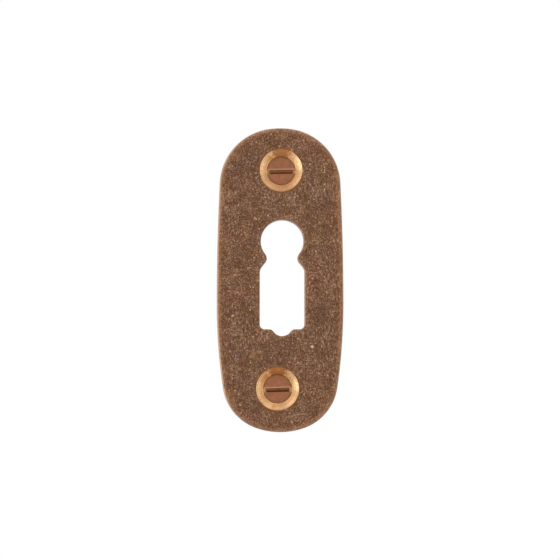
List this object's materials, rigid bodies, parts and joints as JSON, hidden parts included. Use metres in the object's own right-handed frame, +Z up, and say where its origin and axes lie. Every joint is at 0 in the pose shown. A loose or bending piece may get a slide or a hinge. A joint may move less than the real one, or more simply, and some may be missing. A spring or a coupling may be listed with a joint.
{
  "type": "keyhole escutcheon",
  "caption": "Oval brass plate that trims a lever lock's keyhole, fixed to the door by slotted countersunk wood screws.",
  "frame": {"origin": "middle of the plate's outline, on the flat back face that lies against the door", "axes": "+Z up along the plate's length, +X to the right as the fixed plate is seen, -Y out of the front, so the screws point along +Y"},
  "size_m": [0.025, 0.0173, 0.06],
  "materials": {
    "antique_brass": "cast brass with a dark brown antique finish, rubbed coppery along its edges and turned bright in the countersinks",
    "screw_brass": "brass wood screw with a coppery brown antique finish"
  },
  "bodies": {
    "root": {"escutcheon_plate": "antique_brass", "upper_screw": "screw_brass", "lower_screw": "screw_brass"}
  },
  "joints": []
}
